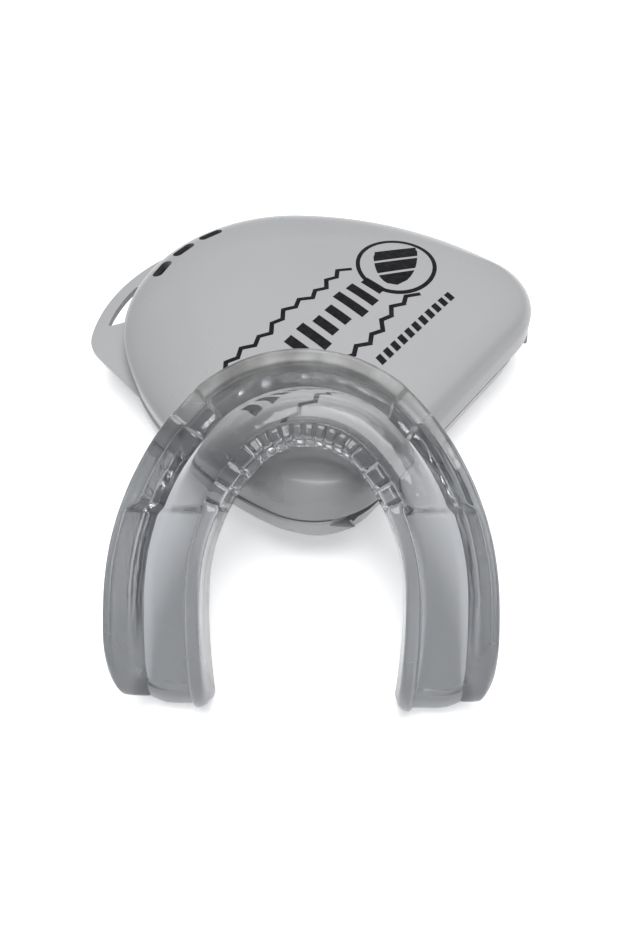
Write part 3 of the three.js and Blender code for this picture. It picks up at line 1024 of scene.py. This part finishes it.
def clear_eva():
    """Clear soft plastic: painted shade in a grey colour on the legs, uneven gloss, shallow dents, and a
    frosted upper rim at the front that is also mottled dark grey with painted shade.
    """
    made, tree, shader = material("clear_eva")
    place = position(tree)
    # Painted shade: grey on the legs, fading to clear towards the front.
    painted_leg_shade = ramp(tree, place.outputs["Y"], LEG_PAINTED_SHADE, FRONT_TINT, *LEG_SHADE_Y)
    # Painted shade: a mottled dark grey on the front's upper rim.
    painted_rim_shade = ramp(tree, noise_node(tree, 130, 3), RIM_PAINTED_SHADE, RIM_PAINTED_SHADE_LIGHT, 0.4, 0.65)
    rim = tree.nodes.new("ShaderNodeMix")
    rim.data_type = "RGBA"
    tree.links.new(ramp(tree, place.outputs["Z"], 0.0, 1.0, *RIM_Z), rim.inputs["Factor"])
    tree.links.new(painted_leg_shade, rim.inputs["A"])
    tree.links.new(painted_rim_shade, rim.inputs["B"])
    tree.links.new(colour_output(rim), shader.inputs["Base Color"])
    gloss = ramp(tree, noise_node(tree, 90, 3), 0.01, 0.07, 0.2, 0.8)
    gloss = total(tree, gloss, ramp(tree, place.outputs["Y"], FROST, 0.0, *FROST_Y))
    gloss = total(tree, gloss, ramp(tree, place.outputs["Z"], 0.0, RIM_FROST, *RIM_Z))
    tree.links.new(gloss, shader.inputs["Roughness"])
    add_bump(tree, shader, noise_node(tree, 200, 2), 0.3, 0.00025)
    absorption = tree.nodes.new("ShaderNodeVolumeAbsorption")
    absorption.inputs["Color"].default_value = (0.62, 0.63, 0.64, 1)
    absorption.inputs["Density"].default_value = 15
    tree.links.new(absorption.outputs["Volume"], tree.nodes["Material Output"].inputs["Volume"])
    shader.inputs["IOR"].default_value = 1.48
    shader.inputs["Transmission Weight"].default_value = 0.9
    return made


def printed_ink():
    """Black pad-printed ink: nearly matt, with faint wear."""
    made, tree, shader = material("print_ink")
    wear = ramp(tree, noise_node(tree, 900, 4), (0.004, 0.004, 0.005), (0.012, 0.012, 0.013), 0.4, 0.7)
    tree.links.new(wear, shader.inputs["Base Color"])
    tree.links.new(ramp(tree, noise_node(tree, 500, 3), 0.55, 0.7), shader.inputs["Roughness"])
    add_bump(tree, shader, noise_node(tree, 2600, 2), 0.1, 0.00002)
    shader.inputs["Specular IOR Level"].default_value = 0.15
    return made


def floor_paint():
    """White floor that glows a little, like a light table, so the shadows on it stay pale."""
    made, tree, shader = material("pale_floor")
    paint = ramp(tree, noise_node(tree, 6, 2), (0.90, 0.90, 0.90), (0.92, 0.92, 0.92))
    tree.links.new(paint, shader.inputs["Base Color"])
    shader.inputs["Roughness"].default_value = 0.7
    shader.inputs["Emission Color"].default_value = (1, 1, 1, 1)
    shader.inputs["Emission Strength"].default_value = 0.35
    return made


# ---- Stage, light and camera ----


def floor():
    made = bmesh.new()
    bmesh.ops.create_grid(made, x_segments=4, y_segments=4, size=FLOOR["half"])
    mesh = bpy.data.meshes.new("floor")
    made.to_mesh(mesh)
    made.free()
    plane = new_object("floor", mesh)
    plane.location.z = FLOOR["z"]
    mesh.materials.append(floor_paint())


def overhead_lamp():
    light = bpy.data.lights.new("overhead", "AREA")
    light.shape = "RECTANGLE"
    light.size = LAMP["size"]
    light.size_y = LAMP["size"]
    light.energy = LAMP["power"]
    obj = bpy.data.objects.new("overhead", light)
    bpy.context.scene.collection.objects.link(obj)
    obj.location = LAMP["place"]
    obj.rotation_euler = (-Vector(LAMP["place"])).to_track_quat("-Z", "Y").to_euler()


def studio():
    world = bpy.data.worlds.new("studio")
    world.use_nodes = True
    sky = world.node_tree.nodes["Background"]
    sky.inputs["Color"].default_value = (*SKY_COLOUR, 1)
    sky.inputs["Strength"].default_value = SKY_STRENGTH
    bpy.context.scene.world = world
    overhead_lamp()
    bpy.context.scene.view_settings.view_transform = "Standard"


def camera():
    data = bpy.data.cameras.new("camera")
    data.sensor_width = SENSOR_WIDTH
    data.lens = CAMERA_LENS
    data.clip_start = 0.01
    obj = bpy.data.objects.new("camera", data)
    bpy.context.scene.collection.objects.link(obj)
    across = math.cos(CAMERA_ELEVATION)
    back = Vector((
        -math.sin(CAMERA_AZIMUTH) * across,
        -math.cos(CAMERA_AZIMUTH) * across,
        math.sin(CAMERA_ELEVATION),
    ))
    obj.location = CAMERA_TARGET + back * CAMERA_DISTANCE
    look = (-back).to_track_quat("-Z", "Y").to_matrix()
    obj.rotation_euler = (look @ Matrix.Rotation(CAMERA_ROLL, 3, "Z")).to_euler()
    bpy.context.scene.camera = obj


# ---- Assembly ----

shell = case_plastic("case_shell", *BASE_GREYS, 0.26)
lid_shell = case_plastic("lid_shell", *LID_GREYS, 0.26, LID_WALL_PAINTED_SHADE)
pin_plastic = case_plastic("hinge_pin", *PIN_GREYS, 0.35)

finish_piece(case_base(), CASE, "base", shell, ["case_base"])
bare_lid = case_lid()
lid_tree = BVHTree.FromObject(bare_lid, bpy.context.evaluated_depsgraph_get())
finish_piece(lid_print(lid_tree), CASE, "lid", printed_ink(), [])
finish_piece(bare_lid, CASE, "lid", lid_shell, ["case_lid"])
for side, place in ((-1, "left"), (1, "right")):
    pin = rod(f"hinge_pin_{place}_looks", side * HINGE_X, PIN["radius"], PIN["length"], PIN["softness"])
    finish_piece(pin, CASE, "base", pin_plastic, [f"hinge_pin_{place}"])
finish_piece(mouthguard(), GUARD, "guard", clear_eva(), ["mouthguard"], 50)

floor()
studio()
camera()
